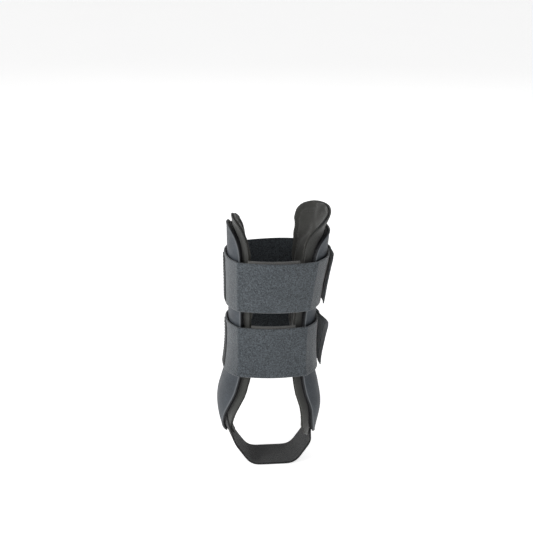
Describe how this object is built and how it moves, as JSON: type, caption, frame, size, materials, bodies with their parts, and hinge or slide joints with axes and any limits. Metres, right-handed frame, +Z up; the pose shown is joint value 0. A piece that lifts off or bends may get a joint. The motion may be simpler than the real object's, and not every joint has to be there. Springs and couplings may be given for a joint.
{
  "type": "ankle foot orthosis",
  "caption": "Stirrup ankle orthosis: moulded side shells with foam liners, a webbing strap under the heel and hook-and-loop straps round the lower leg.",
  "frame": {"origin": "on the sole, under the flat of the heel strap, in the leg's middle plane", "axes": "+Z up the leg, +Y towards the toes, +X towards the medial (inner) side of a left ankle"},
  "size_m": [0.1091, 0.0966, 0.249],
  "materials": {
    "shell_plastic": "matte moulded polypropylene, slightly textured",
    "liner_backing": "knit backing laminated to foam",
    "liner_foam": "closed-cell foam",
    "liner_fabric": "brushed nylon over foam",
    "hook_tape": "moulded hook tape",
    "heel_webbing": "woven webbing",
    "strap_loop": "brushed loop-pile strap fabric",
    "tab_loop": "bound strap tab fabric",
    "pad_fabric": "soft knit pad"
  },
  "bodies": {
    "heel_strap": {"heel_strap": "heel_webbing"},
    "lateral_shell": {"lateral_shell": "shell_plastic", "lateral_liner_backing": "liner_backing", "lateral_liner_foam": "liner_foam", "lateral_liner_facing": "liner_fabric", "lateral_liner_hooks": "hook_tape", "lateral_strap_hooks": "hook_tape", "heel_strap_lateral_end": "heel_webbing", "heel_hook_lateral": "hook_tape", "upper_strap_anchor": "strap_loop", "lower_strap_anchor": "strap_loop"},
    "medial_shell": {"medial_shell": "shell_plastic", "medial_liner_backing": "liner_backing", "medial_liner_foam": "liner_foam", "medial_liner_facing": "liner_fabric", "medial_liner_hooks": "hook_tape", "medial_strap_hooks": "hook_tape", "heel_strap_medial_end": "heel_webbing", "heel_hook_medial": "hook_tape"},
    "upper_strap_back": {"upper_strap_back": "strap_loop", "upper_strap_back_end": "strap_loop", "upper_back_pad": "pad_fabric"},
    "upper_strap_front": {"upper_strap_front": "strap_loop", "upper_strap_front_end": "strap_loop"},
    "upper_tab": {"upper_tab": "tab_loop", "upper_tab_hook": "hook_tape"},
    "lower_strap_back": {"lower_strap_back": "strap_loop", "lower_strap_back_end": "strap_loop", "lower_back_pad": "pad_fabric"},
    "lower_strap_front": {"lower_strap_front": "strap_loop", "lower_strap_front_end": "strap_loop"},
    "lower_tab": {"lower_tab": "tab_loop", "lower_tab_hook": "hook_tape"}
  },
  "joints": [
    {"name": "lateral_shell_open", "type": "hinge", "parent": "heel_strap", "child": "lateral_shell", "pos_m": [-0.0374, 0.004, 0.023], "axis": [0, -1, 0], "range_deg": [0, 45]},
    {"name": "medial_shell_open", "type": "hinge", "parent": "heel_strap", "child": "medial_shell", "pos_m": [0.0374, 0.004, 0.023], "axis": [0, 1, 0], "range_deg": [0, 45], "deforming": ["upper_strap_back_end", "upper_strap_front_end", "upper_tab", "upper_tab_hook", "lower_strap_back_end", "lower_strap_front_end", "lower_tab", "lower_tab_hook"]},
    {"name": "upper_strap_back_open", "type": "hinge", "parent": "lateral_shell", "child": "upper_strap_back", "pos_m": [-0.03642, -0.0311, 0.1845], "axis": [0.0399, 0.0341, -0.9986], "range_deg": [0, 100]},
    {"name": "upper_strap_front_open", "type": "hinge", "parent": "lateral_shell", "child": "upper_strap_front", "pos_m": [-0.03565, 0.03045, 0.1845], "axis": [-0.0249, 0.0213, 0.9995], "range_deg": [0, 100]},
    {"name": "upper_tab_peel", "type": "hinge", "parent": "upper_strap_front", "child": "upper_tab", "pos_m": [0.05197, 0.00574, 0.1845], "axis": [0.1782, 0.0197, 0.9838], "range_deg": [0, 70]},
    {"name": "lower_strap_back_open", "type": "hinge", "parent": "lateral_shell", "child": "lower_strap_back", "pos_m": [-0.03547, -0.03029, 0.121], "axis": [-0.0276, -0.0236, -0.9993], "range_deg": [0, 100]},
    {"name": "lower_strap_front_open", "type": "hinge", "parent": "lateral_shell", "child": "lower_strap_front", "pos_m": [-0.03597, 0.03072, 0.121], "axis": [0.0541, -0.0462, 0.9975], "range_deg": [0, 100]},
    {"name": "lower_tab_peel", "type": "hinge", "parent": "lower_strap_front", "child": "lower_tab", "pos_m": [0.04555, 0.00503, 0.121], "axis": [0.0112, 0.0012, 0.9999], "range_deg": [0, 70]}
  ]
}
